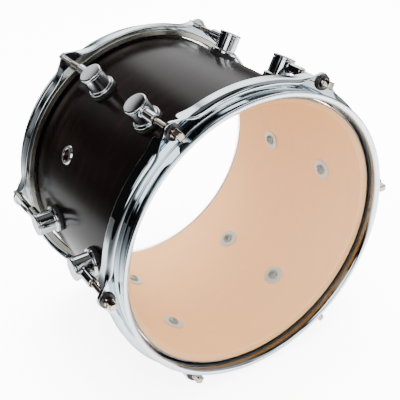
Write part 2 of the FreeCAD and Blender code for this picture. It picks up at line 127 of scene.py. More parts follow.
# The middle of each painted pool of light, its reach and how much painted light it adds to the paper
pools = (((0.10, -0.20, 0), 0.44, 0.85), ((-0.40, 0.36, 0), 0.20, 0.34))
floor_mesh = bpy.data.meshes.new("floor")
floor_signs = ((-1, -1), (1, -1), (1, 1), (-1, 1))
floor_corners = [(x * floor_reach, y * floor_reach, floor_drop) for x, y in floor_signs]
floor_mesh.from_pydata(floor_corners, [], [(0, 1, 2, 3)])
floor = bpy.data.objects.new("floor", floor_mesh)
bpy.context.scene.collection.objects.link(floor)
paper = bpy.data.materials.new("paper")
paper.use_nodes = True
tree = paper.node_tree
tree.nodes.remove(tree.nodes["Principled BSDF"])
spot = add_node(tree, "ShaderNodeTexCoord").outputs["Object"]
# Painted light: as mirrors see it, the paper is brightest in the pools and painted dim further out.
painted_pool_light = far_paper_shade
for pool_middle, pool_reach, pool_painted_light in pools:
    apart = add_node(tree, "ShaderNodeVectorMath", {0: spot, 1: pool_middle}, operation="DISTANCE")
    far_share = add_math(tree, "DIVIDE", apart.outputs["Value"], pool_reach)
    fall = add_math(tree, "ADD", add_math(tree, "POWER", far_share, pool_fall), 1.0)
    painted_pool_light = add_math(tree, "ADD", add_math(tree, "DIVIDE", pool_painted_light, fall), painted_pool_light)
plain_share = add_node(tree, "ShaderNodeLightPath").outputs["Is Camera Ray"]
brightness = add_node(tree, "ShaderNodeMix", {
    "Factor": plain_share, "A": painted_pool_light, "B": seen_white}).outputs["Result"]
matt = add_node(tree, "ShaderNodeBsdfDiffuse", {"Color": brightness})
glow = add_node(tree, "ShaderNodeEmission", {"Strength": add_math(tree, "MULTIPLY", plain_share, seen_glow)})
both = add_node(tree, "ShaderNodeAddShader", {0: matt.outputs[0], 1: glow.outputs[0]})
tree.links.new(both.outputs[0], tree.nodes["Material Output"].inputs["Surface"])
floor_mesh.materials.append(paper)

lamp = bpy.data.lights.new("overhead", "AREA")
lamp.shape = "DISK"
lamp.size = 1.6
lamp.energy = 80
overhead = bpy.data.objects.new("overhead", lamp)
overhead.location = (0.35, 0.35, 1.7)
overhead.visible_glossy = False
bpy.context.scene.collection.objects.link(overhead)

# Shell: a tube of bent maple plies, stained nearly black and lacquered outside, bare inside.
# A bearing edge is cut at each end, and a vent hole is drilled through between two lines of lugs.
shell_low, shell_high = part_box("shell")
axis_height = (shell_low.z + shell_high.z) / 2
shell_radius = (shell_high.x - shell_low.x) / 2
edge_place = shell_high.y
shell_wall, edge_land, edge_outer_cut = 0.005, 0.001, 0.0008
inner_radius = shell_radius - shell_wall
land_out = shell_radius - edge_outer_cut
land_in = shell_radius - edge_outer_cut - edge_land
vent_low, vent_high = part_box("vent_grommet")
vent_place = (vent_low.y + vent_high.y) / 2
vent_angle = math.radians(300)
vent_hole_radius = 0.00575
ends = {"batter": -1, "resonant": 1}
SHELL_STEPS = 360
WINDOW_STEPS = 8
PATCH_RINGS = 5


def at_depth(side, depth):
    """The place on the drum's axis that lies at a depth in from the bearing edge of one end."""
    return side * (edge_place - np.asarray(depth))


def turned(along, out, angles):
    """A profile carried round the drum's axis: x = out sin t, y = along, z = axis height + out cos t."""
    t = angles[:, None]
    points = np.broadcast_arrays(out * np.sin(t), along, axis_height + out * np.cos(t))
    return np.stack(points, -1)


def grid_faces(rows, columns, round_rows=True, round_columns=True):
    """Quads between neighbours on a grid of points, closed round its rows and its columns where asked."""
    index = np.arange(rows * columns).reshape(rows, columns)
    index = np.vstack([index, index[:1]]) if round_rows else index
    index = np.hstack([index, index[:, :1]]) if round_columns else index
    return np.stack([index[:-1, :-1], index[1:, :-1], index[1:, 1:], index[:-1, 1:]], -1)


def joined(points, **closed):
    """A grid of points as flat arrays of points and quads."""
    return points.reshape(-1, 3), grid_faces(*points.shape[:2], **closed).reshape(-1, 4)


def add_piece(name, grids, material, body, slot, *nodes, crease=38):
    """A mesh of one or more grids with seams and poles merged and faces outwards, riding on a body."""
    starts = np.cumsum([0] + [len(points) for points, quads in grids])
    points = np.concatenate([points for points, quads in grids]).astype(np.float32)
    quads = np.concatenate([quads + start for (_, quads), start in zip(grids, starts)]).astype(np.int32)
    mesh = bpy.data.meshes.new(name)
    mesh.vertices.add(len(points))
    mesh.vertices.foreach_set("co", points.ravel())
    mesh.loops.add(quads.size)
    mesh.loops.foreach_set("vertex_index", quads.ravel())
    mesh.polygons.add(len(quads))
    mesh.polygons.foreach_set("loop_start", np.arange(0, quads.size, 4, dtype=np.int32))
    mesh.update(calc_edges=True)
    clean = bmesh.new()
    clean.from_mesh(mesh)
    bmesh.ops.remove_doubles(clean, verts=clean.verts, dist=1e-6)
    bmesh.ops.recalc_face_normals(clean, faces=clean.faces)
    clean.to_mesh(mesh)
    clean.free()
    mesh.shade_smooth()
    mesh.set_sharp_from_angle(angle=math.radians(crease))
    mesh.materials.append(material)
    piece = bpy.data.objects.new(name, mesh)
    bpy.context.scene.collection.objects.link(piece)
    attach(piece, body)
    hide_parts(*nodes)
    return piece


def face_middles(piece):
    """The middles of a piece's faces, counted from the drum's axis."""
    middles = np.zeros(len(piece.data.polygons) * 3)
    piece.data.polygons.foreach_get("center", middles)
    return middles.reshape(-1, 3) - (0, 0, axis_height)


def new_material(name):
    """A material with its node tree and its shader."""
    made = bpy.data.materials.new(name)
    made.use_nodes = True
    return made, made.node_tree, made.node_tree.nodes["Principled BSDF"]


def new_group(name, inputs, outputs):
    """A shader node group with named inputs, given as values, and named outputs, given as socket types."""
    group = bpy.data.node_groups.new(name, "ShaderNodeTree")
    for label, value in inputs.items():
        kind = "NodeSocketColor" if isinstance(value, tuple) else "NodeSocketFloat"
        group.interface.new_socket(label, in_out="INPUT", socket_type=kind).default_value = value
    for label, kind in outputs.items():
        group.interface.new_socket(label, in_out="OUTPUT", socket_type=kind)
    return group, group.nodes.new("NodeGroupInput"), group.nodes.new("NodeGroupOutput")


def mixed(tree, share, low, high):
    """The colour between two colours at a share."""
    return add_node(tree, "ShaderNodeMix", {"Factor": share, 6: low, 7: high}, data_type="RGBA").outputs[2]


def from_axis(tree):
    """A surface's place counted from the drum's axis, and its distance from that axis, which is the length
    of the place with its share along the axis left out."""
    spot = add_node(tree, "ShaderNodeTexCoord").outputs["Object"]
    centred = add_node(tree, "ShaderNodeVectorMath", {0: spot, 1: (0, 0, axis_height)}, operation="SUBTRACT")
    flat = add_node(tree, "ShaderNodeVectorMath", {0: centred.outputs[0], 1: (1, 0, 1)}, operation="MULTIPLY")
    distance = add_node(tree, "ShaderNodeVectorMath", {0: flat.outputs[0]}, operation="LENGTH")
    return centred.outputs[0], distance.outputs["Value"]


# The grain runs round the shell, so the pattern is drawn on arc length, place on the axis and radius
grain, grain_in, grain_out = new_group("maple_grain", {"Stretch": 14.0}, {
    label: "NodeSocketFloat" for label in ("Streak", "Mottle", "Pore", "Radius")})
centred, radius = from_axis(grain)
spot = add_node(grain, "ShaderNodeSeparateXYZ", {0: centred}).outputs
arc = add_math(grain, "MULTIPLY", add_math(grain, "ARCTAN2", spot["X"], spot["Z"]), shell_radius)
slow_arc = add_math(grain, "DIVIDE", arc, grain_in.outputs["Stretch"])
along_grain = add_node(grain, "ShaderNodeCombineXYZ", {0: slow_arc, 1: spot["Y"], 2: radius}).outputs[0]
evenly = add_node(grain, "ShaderNodeCombineXYZ", {0: arc, 1: spot["Y"], 2: radius}).outputs[0]
grain_noises = (("Streak", along_grain, 210.0, 5.0), ("Mottle", evenly, 26.0, 3.0),
                ("Pore", along_grain, 1500.0, 2.0))
for label, vector, scale, detail in grain_noises:
    noise = add_node(grain, "ShaderNodeTexNoise", {"Vector": vector, "Scale": scale, "Detail": detail})
    grain.links.new(noise.outputs["Fac"], grain_out.inputs[label])
grain.links.new(radius, grain_out.inputs["Radius"])


pore_depth = 0.0002


def grained(tree, shader, stretch, pore_strength):
    """The outputs of the maple grain in a material, with its pores as dents in the surface."""
    wood = add_node(tree, "ShaderNodeGroup", {"Stretch": stretch}, node_tree=grain).outputs
    dents = add_node(tree, "ShaderNodeBump", {
        "Strength": pore_strength, "Distance": pore_depth, "Height": wood["Pore"]})
    tree.links.new(dents.outputs[0], shader.inputs["Normal"])
    return wood


stain_dark, stain_warm = (0.0018, 0.0012, 0.0011, 1), (0.0050, 0.0024, 0.0019, 1)
lacquer_gloss, lacquer_haze, lacquer_index = 0.16, 0.08, 1.17
streak_range, blotch_range, glue_range = (0.42, 0.68), (0.3, 0.7), (0.72, 0.85)
stained, tree, shader = new_material("stained_maple")
wood = grained(tree, shader, stretch=14.0, pore_strength=0.02)
streaked = soft_step(tree, wood["Streak"], *streak_range)
blotched = soft_step(tree, wood["Mottle"], *blotch_range)
stain = mixed(tree, add_math(tree, "MULTIPLY", streaked, blotched), stain_dark, stain_warm)
tree.links.new(stain, shader.inputs["Base Color"])
lacquer = add_math(tree, "MULTIPLY_ADD", wood["Mottle"], lacquer_haze, lacquer_gloss)
tree.links.new(lacquer, shader.inputs["Roughness"])
shader.inputs["IOR"].default_value = lacquer_index

# The cut of the bearing edge is darker: partly the ply ends' own tone, partly painted shade under the head.
pale_face, deep_face, cut_tone_and_shade = (0.85, 0.465, 0.155, 1), (0.74, 0.39, 0.115, 1), (0.34, 0.17, 0.07, 1)
sanded_gloss, sanded_haze = 0.55, 0.2
ply_height, cut_start, cut_full = 0.0008, inner_radius + 0.0002, inner_radius + 0.0004
cut_weight, streak_weight = 0.35, 0.6
bare, tree, shader = new_material("bare_maple")
wood = grained(tree, shader, stretch=9.0, pore_strength=0.15)
ply_wave = add_math(tree, "FRACT", add_math(tree, "DIVIDE", wood["Radius"], ply_height))
on_cut = add_math(tree, "MULTIPLY", soft_step(tree, wood["Radius"], cut_start, cut_full), cut_weight)
glue_line = add_math(tree, "MULTIPLY", on_cut, soft_step(tree, ply_wave, *glue_range))
figure = add_math(tree, "MAXIMUM", glue_line, add_math(tree, "MULTIPLY", wood["Streak"], streak_weight))
face_tone = mixed(tree, figure, pale_face, deep_face)
tree.links.new(mixed(tree, on_cut, face_tone, cut_tone_and_shade), shader.inputs["Base Color"])
sanded = add_math(tree, "MULTIPLY_ADD", wood["Mottle"], sanded_haze, sanded_gloss)
tree.links.new(sanded, shader.inputs["Roughness"])

window_half = WINDOW_STEPS / 2 * math.tau / SHELL_STEPS
window_places = vent_place + window_half * shell_radius * np.linspace(-1, 1, WINDOW_STEPS + 1)
wall_start = edge_place - edge_outer_cut
land_end = edge_place - shell_wall + edge_outer_cut + edge_land
outer_line = np.concatenate([[-wall_start], window_places, [wall_start]])
inner_line = np.concatenate([[land_end], window_places[::-1], [-land_end]])
along = np.concatenate([outer_line, [edge_place, edge_place], inner_line, [-edge_place, -edge_place]])
out = np.concatenate([np.full(len(outer_line), shell_radius), [land_out, land_in],
                      np.full(len(inner_line), inner_radius), [land_in, land_out]])
angles = vent_angle + (np.arange(SHELL_STEPS) - WINDOW_STEPS / 2) * math.tau / SHELL_STEPS
wall_points = turned(along, out, angles)
wall_quads = grid_faces(*wall_points.shape[:2])
outer_first = 1
inner_first = len(outer_line) + 3
kept = np.ones(wall_quads.shape[:2], bool)
kept[:WINDOW_STEPS, outer_first:outer_first + WINDOW_STEPS] = False
kept[:WINDOW_STEPS, inner_first:inner_first + WINDOW_STEPS] = False
ramp = np.linspace(-1, 1, WINDOW_STEPS + 1)[:-1]
level = np.ones(WINDOW_STEPS)
square = np.stack([np.concatenate([ramp, level, -ramp, -level]),
                   np.concatenate([-level, ramp, level, -ramp])])
circle = square / np.linalg.norm(square, axis=0) * vent_hole_radius / (window_half * shell_radius)


def ring_patch(radius):
    """Rings round the vent that go from its circle, at share 0, to the square window, at share 1."""
    share = np.linspace(0, 1, PATCH_RINGS)[:, None]
    across, place = circle[:, None] + share * (square - circle)[:, None]
    return np.stack([radius * np.sin(vent_angle + across * window_half),
                     vent_place + place * window_half * shell_radius,
                     axis_height + radius * np.cos(vent_angle + across * window_half)], -1)


outer_patch, inner_patch = ring_patch(shell_radius), ring_patch(inner_radius)
bore_wall = np.stack([outer_patch[0], inner_patch[0]])
shell = add_piece(
    "shell_wood",
    [(wall_points.reshape(-1, 3), wall_quads[kept]), joined(outer_patch, round_rows=False),
     joined(inner_patch, round_rows=False), joined(bore_wall, round_rows=False)],
    stained, "drum_shell", "stained_maple", "shell", crease=25)
shell.data.materials.append(bare)
middles = face_middles(shell)
is_bare = np.hypot(middles[:, 0], middles[:, 2]) < land_out
shell.data.polygons.foreach_set("material_index", is_bare.astype(np.int32))

# Vent grommet: a turned brass eyelet, chromed outside, with painted shade in its bore, which is coloured
# nearly black.
# It has a round lip outside, and its inner end is rolled over a ring inside the shell.
vent_bore, grommet_radius, grommet_flange, grommet_slope = 0.0050, 0.0057, 0.0090, 0.0012
grommet_high, grommet_sink, grommet_lip, lip_height = 0.0013, 0.0005, 0.0072, 0.0008
ring_radius, ring_height, bore_margin = 0.0086, 0.0012, 0.0002
lip_inner, lip_outer, lip_foot, flange_edge, flange_roll, bore_roll = (
    0.0003, 0.0004, 0.0002, 0.0002, 0.0008, 0.0012)
ring_bore_edge, ring_edge = 0.0001, 0.0003
ARC_STEPS = 6
guard = 0.00002
GROMMET_STEPS = 64
ring_top = math.sqrt(inner_radius ** 2 - ring_radius ** 2)
ring_low = ring_top - ring_height
lip_end = ring_low - lip_height
flange_under, flange_crest = shell_radius - grommet_sink, shell_radius + grommet_high


def rounded_outline(corners, steps=ARC_STEPS):
    """An outline through corners (along, out, round): each corner becomes an arc that touches its two
    sides at round / tan(half the corner's angle), swept from the one touching point to the other. A guard
    point on each side, close to the arc, keeps the shading of the flat sides flat."""
    corners = np.array(corners, float)
    places, rounds = corners[:, :2], corners[:, 2:]
    before = np.roll(places, 1, 0) - places
    after = np.roll(places, -1, 0) - places
    before /= np.linalg.norm(before, axis=1, keepdims=True)
    after /= np.linalg.norm(after, axis=1, keepdims=True)
    half = np.arccos((before * after).sum(1, keepdims=True)) / 2
    middle = (before + after) / np.linalg.norm(before + after, axis=1, keepdims=True)
    centre = places + middle * rounds / np.sin(half)
    start = places + before * rounds / np.tan(half) - centre
    stop = places + after * rounds / np.tan(half) - centre
    sweep = (math.pi - 2 * half)[:, None]
    share = np.linspace(0, 1, steps)[None, :, None]
    arcs = start[:, None] * np.sin((1 - share) * sweep) + stop[:, None] * np.sin(share * sweep)
    arcs = arcs / np.sin(sweep)
    side_in = start + guard * (rounds > 0) * before
    side_out = stop + guard * (rounds > 0) * after
    arcs = np.concatenate([side_in[:, None], arcs, side_out[:, None]], 1)
    return (centre[:, None] + arcs).reshape(-1, 2)


def stood(across, along, out, angle):
    """Points given across, along and out from the drum's axis, turned about it to an angle a:
    x = out sin a + across cos a, y = along, z = axis height + out cos a - across sin a."""
    return np.stack(np.broadcast_arrays(
        out * np.sin(angle) + across * np.cos(angle), along,
        axis_height + out * np.cos(angle) - across * np.sin(angle)), -1)


def spun(lift, radius, steps):
    """A profile spun about its own axis: radius cos t and radius sin t, at each lift."""
    t = np.linspace(0, math.tau, steps, endpoint=False)[:, None]
    return radius * np.cos(t), radius * np.sin(t), lift + 0 * t


plating, plating_in, plating_out = new_group(
    "plating", {"Bright": (0.8, 0.8, 0.8, 1), "Dull": (0.6, 0.6, 0.6, 1), "Gloss": 0.03, "Haze": 0.05},
    {"Color": "NodeSocketColor", "Roughness": "NodeSocketFloat", "Ripple": "NodeSocketFloat"})
finish = plating_in.outputs
spot = add_node(plating, "ShaderNodeTexCoord").outputs["Object"]
cloud = add_node(plating, "ShaderNodeTexNoise", {"Vector": spot, "Scale": 34.0, "Detail": 5.0})
ripple = add_node(plating, "ShaderNodeTexNoise", {"Vector": spot, "Scale": 150.0, "Detail": 1.0})
worn_range = (0.45, 0.75)
worn = soft_step(plating, cloud.outputs["Fac"], *worn_range)
tone = mixed(plating, worn, finish["Bright"], finish["Dull"])
hazed = add_math(plating, "MULTIPLY_ADD", worn, finish["Haze"], finish["Gloss"])
plating.links.new(tone, plating_out.inputs["Color"])
plating.links.new(hazed, plating_out.inputs["Roughness"])
plating.links.new(ripple.outputs["Fac"], plating_out.inputs["Ripple"])


def plated(name, bright, dull, gloss, haze, ripple_depth, metal=1.0):
    """A plated metal: its bright and dull colours, its gloss and haze, and how deep its ripples are."""
    made, tree, shader = new_material(name)
    finish = add_node(tree, "ShaderNodeGroup", {"Bright": (*bright, 1), "Dull": (*dull, 1), "Gloss": gloss,
                                                "Haze": haze}, node_tree=plating).outputs
    tree.links.new(finish["Color"], shader.inputs["Base Color"])
    tree.links.new(finish["Roughness"], shader.inputs["Roughness"])
    waves = add_node(tree, "ShaderNodeBump", {
        "Strength": 1.0, "Distance": ripple_depth, "Height": finish["Ripple"]})
    tree.links.new(waves.outputs[0], shader.inputs["Normal"])
    shader.inputs["Metallic"].default_value = metal
    return made


grommet_chrome = plated("grommet_chrome", (0.84, 0.85, 0.86), (0.72, 0.73, 0.75),
                        gloss=0.04, haze=0.05, ripple_depth=0.00002)
# Nearly black dull brass for the bore: painted shade inside the hole.
shaded_bore_brass = plated("shaded_bore_brass", (0.030, 0.024, 0.018), (0.018, 0.014, 0.010),
                    gloss=0.35, haze=0.15, ripple_depth=0.00003)
eyelet = rounded_outline([
    (lip_end, vent_bore, lip_inner), (lip_end, grommet_lip, lip_outer), (ring_low, grommet_lip, lip_foot),
    (ring_low, grommet_radius, 0), (flange_under, grommet_radius, 0),
    (flange_under, grommet_flange, flange_edge), (flange_crest, grommet_flange - grommet_slope, flange_roll),
    (flange_crest, vent_bore, bore_roll)])
ring = rounded_outline([
    (ring_low, grommet_radius, ring_bore_edge), (ring_low, ring_radius, ring_edge),
    (ring_top, ring_radius, ring_edge), (ring_top, grommet_radius, ring_bore_edge)])
vent_pieces = {}
for name, node, shape in (("vent_eyelet", "vent_grommet", eyelet), ("vent_ring", "vent_grommet_ring", ring)):
    across, along, out = spun(shape[:, 0], shape[:, 1], GROMMET_STEPS)
    points = stood(across, vent_place + along, out, vent_angle)
    vent_pieces[name] = add_piece(name, [joined(points)], grommet_chrome, "drum_shell", "chromed_grommet",
                                  node)
bored = vent_pieces["vent_eyelet"].data
bored.materials.append(shaded_bore_brass)
middles = face_middles(vent_pieces["vent_eyelet"])
across = middles[:, 0] * math.cos(vent_angle) - middles[:, 2] * math.sin(vent_angle)
in_bore = np.hypot(across, middles[:, 1] - vent_place) < vent_bore + bore_margin
bored.polygons.foreach_set("material_index", in_bore.astype(np.int32))

# Lugs: zinc barrels cast with a base flange, a cap and a tube that points at the hoop, chromed.
# Each stands on a black rubber gasket and is held by one screw from inside the shell. A brass nut in the
# tube takes the rod.
lug_depths = {"batter": 0.0575, "resonant": 0.0625}
gasket_height, gasket_radius, gasket_slope, lug_height = 0.0026, 0.0127, 0.0006, 0.0228
lug_base, lug_top = shell_radius + gasket_height, shell_radius + lug_height
lug_flange_radius, lug_flange_height, flange_round = 0.0124, 0.0026, 0.0010
lug_body_radius, lug_cap_radius, lug_cap_height = 0.0100, 0.0104, 0.0028
cap_crown, cap_round, lug_edge = 0.0004, 0.0013, 0.0003
groove_deep, groove_high, groove_round = 0.0005, 0.0006, 0.0001
tube_radius, tube_bore, tube_reach, tube_start = 0.0044, 0.00275, 0.027, 0.006
tube_ring_radius, tube_ring_end = 0.0052, 0.0118
mouth_round, tube_round, ring_foot, ring_round = 0.0003, 0.0006, 0.0002, 0.0005
screw_hole_radius = 0.0026
CAP_SHARES = (0.8, 0.6, 0.4, 0.2)
BARREL_STEPS = 56
TUBE_STEPS = 36
LUGS_AN_END = 6
lug_step = math.tau / LUGS_AN_END
lug_angles = lug_step * (np.arange(LUGS_AN_END) + 0.5)
rod_offset = 0.0025
rod_circle = axis_height + rod_offset

speckle, speckle_in, speckle_out = new_group(
    "speckle", {"Scale": 600.0, "Detail": 2.0, "Low": (0.1, 0.1, 0.1, 1), "High": (0.2, 0.2, 0.2, 1)},
    {"Color": "NodeSocketColor", "Speck": "NodeSocketFloat"})
mould = speckle_in.outputs
spot = add_node(speckle, "ShaderNodeTexCoord").outputs["Object"]
speck = add_node(speckle, "ShaderNodeTexNoise", {
    "Vector": spot, "Scale": mould["Scale"], "Detail": mould["Detail"]}).outputs["Fac"]
speckle.links.new(mixed(speckle, speck, mould["Low"], mould["High"]), speckle_out.inputs["Color"])
speckle.links.new(speck, speckle_out.inputs["Speck"])


def speckled(name, scale, detail, low, high, gloss, haze):
    """A cast or moulded material with fine specks between two colours. Haze, if any, roughens the specks."""
    made, tree, shader = new_material(name)
    specks = add_node(tree, "ShaderNodeGroup", {"Scale": scale, "Detail": detail, "Low": (*low, 1),
                                                "High": (*high, 1)}, node_tree=speckle).outputs
    tree.links.new(specks["Color"], shader.inputs["Base Color"])
    shader.inputs["Roughness"].default_value = gloss
    if haze:
        dulled = add_math(tree, "MULTIPLY_ADD", specks["Speck"], haze, gloss)
        tree.links.new(dulled, shader.inputs["Roughness"])
    return made


lug_chrome = plated("lug_chrome", (0.77, 0.81, 0.83), (0.68, 0.72, 0.75),
                    gloss=0.02, haze=0.04, ripple_depth=0.00002)
rubber = speckled("gasket_rubber", 420.0, 4.0, (0.0008, 0.0008, 0.0008), (0.002, 0.002, 0.002),
                  gloss=0.45, haze=0.3)
brass = plated("nut_brass", (0.80, 0.62, 0.30), (0.62, 0.46, 0.22),
               gloss=0.2, haze=0.15, ripple_depth=0.00003)
flange_face = lug_base + lug_flange_height
cap_low = lug_top - lug_cap_height
groove_low, groove_radius = cap_low - groove_high, lug_body_radius - groove_deep
dome = [(lug_top - cap_crown * share ** 2, lug_cap_radius * share, 0) for share in CAP_SHARES]
barrel = rounded_outline([
    (lug_base, 0, 0), (lug_base, lug_flange_radius, lug_edge), (flange_face, lug_flange_radius, flange_round),
    (flange_face, lug_body_radius, flange_round), (groove_low, lug_body_radius, lug_edge),
    (groove_low, groove_radius, groove_round), (cap_low, groove_radius, groove_round),
    (cap_low, lug_cap_radius, lug_edge), (lug_top - cap_crown, lug_cap_radius, cap_round), *dome,
    (lug_top, 0, 0)])
tube = rounded_outline([
    (tube_start, tube_bore, 0), (tube_reach, tube_bore, mouth_round), (tube_reach, tube_radius, tube_round),
    (tube_ring_end, tube_radius, ring_foot), (tube_ring_end, tube_ring_radius, ring_round),
    (tube_start, tube_ring_radius, 0)])
gasket_radii = np.array([screw_hole_radius, gasket_radius, gasket_radius, gasket_radius - gasket_slope,
                         screw_hole_radius])
gasket_shares = np.array([0, 0, 0.75, 1, 1])
for end, side in ends.items():
    lug_place = float(at_depth(side, lug_depths[end]))
    gaskets = []
    for number, angle in enumerate(lug_angles, start=1):
        across, along, out = spun(barrel[:, 0], barrel[:, 1], BARREL_STEPS)
        post = joined(stood(across, lug_place + along, out, angle), round_columns=False)
        across, lift, reach = spun(tube[:, 0], tube[:, 1], TUBE_STEPS)
        spout = joined(stood(across, lug_place + side * reach, rod_circle + lift, angle))
        add_piece(f"{end}_lug_{number}_cast", [post, spout], lug_chrome, "drum_shell", "chromed_casting",
                  f"{end}_lug_{number}")
        across, along, share = spun(gasket_shares, gasket_radii, BARREL_STEPS)
        seat = np.sqrt(shell_radius ** 2 - across ** 2)
        gaskets.append(joined(stood(across, lug_place + along, seat + share * (lug_base - seat), angle)))
    add_piece(f"{end}_lug_gaskets_rubber", gaskets, rubber, "drum_shell", "black_rubber",
              f"{end}_lug_gaskets")
    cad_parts[f"{end}_lug_nuts"].material_slots[0].material = brass

# Lug screws: turned steel with pan heads and a cross recess, plated.
# Each pulls its lug to the shell through a broad plain washer inside.
screw_head_radius, screw_radius, screw_reach = 0.0050, 0.0023, 0.008
screw_head_middle, screw_head_fall = 0.0030, 0.0014
screw_washer_height, screw_washer_radius = 0.0010, 0.010
screw_washer_edge, screw_washer_round = 0.0002, 0.0004
recess_deep, recess_half, recess_reach, recess_slope = 0.0013, 0.00055, 0.0024, 0.0002
washer_top = math.sqrt(inner_radius ** 2 - screw_washer_radius ** 2)
washer_low = washer_top - screw_washer_height
shank_end = washer_low - lug_base - screw_reach
HEAD_RINGS = 22
SCREW_STEPS = 48
WASHER_STEPS = 40
screw_steel = plated("screw_steel", (0.19, 0.27, 0.29), (0.13, 0.18, 0.20),
                     gloss=0.25, haze=0.15, ripple_depth=0.00004, metal=0.6)
washer_steel = plated("washer_steel", (0.52, 0.58, 0.51), (0.42, 0.48, 0.42),
                      gloss=0.30, haze=0.12, ripple_depth=0.00003, metal=0.3)
washer_ring = rounded_outline([
    (washer_low, screw_hole_radius, screw_washer_edge), (washer_low, screw_washer_radius, screw_washer_round),
    (washer_top, screw_washer_radius, screw_washer_edge),
    (washer_top, screw_hole_radius, screw_washer_edge)], steps=3)
face_radii = np.linspace(0, screw_head_radius, HEAD_RINGS)
face_lifts = screw_head_middle - screw_head_fall * (face_radii / screw_head_radius) ** 3
screw_radii = np.concatenate([face_radii, [screw_head_radius, screw_radius, screw_radius, 0]])
screw_lifts = np.concatenate([face_lifts, [0, 0, shank_end, shank_end]])
on_face = np.arange(len(screw_radii)) < HEAD_RINGS
for end, side in ends.items():
    lug_place = float(at_depth(side, lug_depths[end]))
    screws, washers = [], []
    for angle in lug_angles:
        across, along, lift = spun(screw_lifts, screw_radii, SCREW_STEPS)
        slim, wide = np.minimum(abs(across), abs(along)), np.maximum(abs(across), abs(along))
        recess = on_face * np.clip((recess_half - slim) / recess_slope, 0, 1) * np.clip(
            (recess_reach - wide) / recess_slope, 0, 1)
        out = washer_low - lift + recess_deep * recess
        screws.append(joined(stood(across, lug_place + along, out, angle), round_columns=False))
        across, along, out = spun(washer_ring[:, 0], washer_ring[:, 1], WASHER_STEPS)
        washers.append(joined(stood(across, lug_place + along, out, angle)))
    add_piece(f"{end}_lug_screws_pan_head", screws, screw_steel, "drum_shell", "plain_steel",
              f"{end}_lug_screws")
    add_piece(f"{end}_screw_washers_plain", washers, washer_steel, "drum_shell", "plain_steel",
              f"{end}_screw_washers")

# Heads: clear polyester film, two plies on the batter side and one on the other, pulled over the bearing
# edge and locked with resin in a rolled aluminium channel, the flesh hoop. The drum's hoop presses it down.
batter_ply, resonant_ply = 0.00018, 0.00025
flange_depth, channel_gap, channel_width = 0.0075, 0.0017, 0.0058
channel_inner = shell_radius + channel_gap
channel_outer = channel_inner + channel_width
channel_wall, channel_height, channel_inner_drop = 0.0008, 0.0065, 0.0018
channel_edge, channel_bend = 0.0003, 0.0009
shoulder_gap, shoulder_depth, turn_gap, turn_drop = 0.0007, 0.0014, 0.0012, 0.0009
tail_drop, tail_inset, tail_stop = 0.0005, 0.0022, 0.0014
shoulder_round, turn_round, tail_round = 0.0006, 0.0004, 0.0003
HEAD_STEPS = 288
head_angles = np.linspace(0, math.tau, HEAD_STEPS, endpoint=False)


def film_line(raised):
    """One face of a film, from the middle of the head over the bearing edge and down into the channel."""
    turn_depth = flange_depth + turn_drop
    return [
        (-raised, 0, 0), (-raised, land_out + raised, shoulder_round),
        (shoulder_depth - raised, shell_radius + shoulder_gap + raised, shoulder_round),
        (turn_depth - raised, shell_radius + turn_gap + raised, turn_round),
        (turn_depth + tail_drop - raised, channel_inner + tail_inset + raised, tail_round),
        (flange_depth + channel_height - tail_stop, channel_inner + tail_inset + raised, 0)]


film_tone, film_index, film_sheen, sheen_power = (0.95, 0.97, 1.0, 1), 1.5, 1.5, 1.6
smudge_veil, smudge_range, film_gloss, film_haze, band_threshold = 0.001, (0.4, 0.8), 0.02, 0.1, 0.02


def clear_film(name, edge_haze_and_highlight, edge_band_start, edge_band_full):
    """Clear film: light passes, and a mirror image comes up towards grazing angles, with faint smudges and a
    pale
    band near the bearing edge: milky haze on the resonant head, a painted highlight on the film's bend on the
    batter head."""
    made, tree, shader = new_material(name)
    spot = add_node(tree, "ShaderNodeTexCoord").outputs["Object"]
    smudge = add_node(tree, "ShaderNodeTexNoise", {
        "Vector": spot, "Scale": 22.0, "Detail": 6.0}).outputs["Fac"]
    front = add_math(tree, "SUBTRACT", 1.0, add_node(tree, "ShaderNodeNewGeometry").outputs["Backfacing"])
    mirror = add_node(tree, "ShaderNodeFresnel", {"IOR": film_index}).outputs[0]
    sheen = add_math(tree, "POWER", add_math(tree, "MULTIPLY", mirror, film_sheen), sheen_power)
    sheen = add_math(tree, "MINIMUM", sheen, 1.0)
    veil = add_math(tree, "MULTIPLY_ADD", soft_step(tree, smudge, *smudge_range), smudge_veil, sheen)
    radius = from_axis(tree)[1]
    milk_and_highlight = add_math(tree, "MULTIPLY", soft_step(tree, radius, edge_band_start, edge_band_full), edge_haze_and_highlight)
    veil = add_math(tree, "MAXIMUM", veil, milk_and_highlight)
    clear_share = add_math(tree, "SUBTRACT", 1.0, soft_step(tree, milk_and_highlight, 0.0, band_threshold))
    tree.links.new(clear_share, shader.inputs["Metallic"])
    tree.links.new(add_math(tree, "MULTIPLY", front, veil), shader.inputs["Alpha"])
    tree.links.new(add_math(tree, "MULTIPLY_ADD", smudge, film_haze, film_gloss), shader.inputs["Roughness"])
    shader.inputs["Base Color"].default_value = film_tone
    return made


bend_width, milky_in, milky_out = 0.0008, 0.002, 0.001
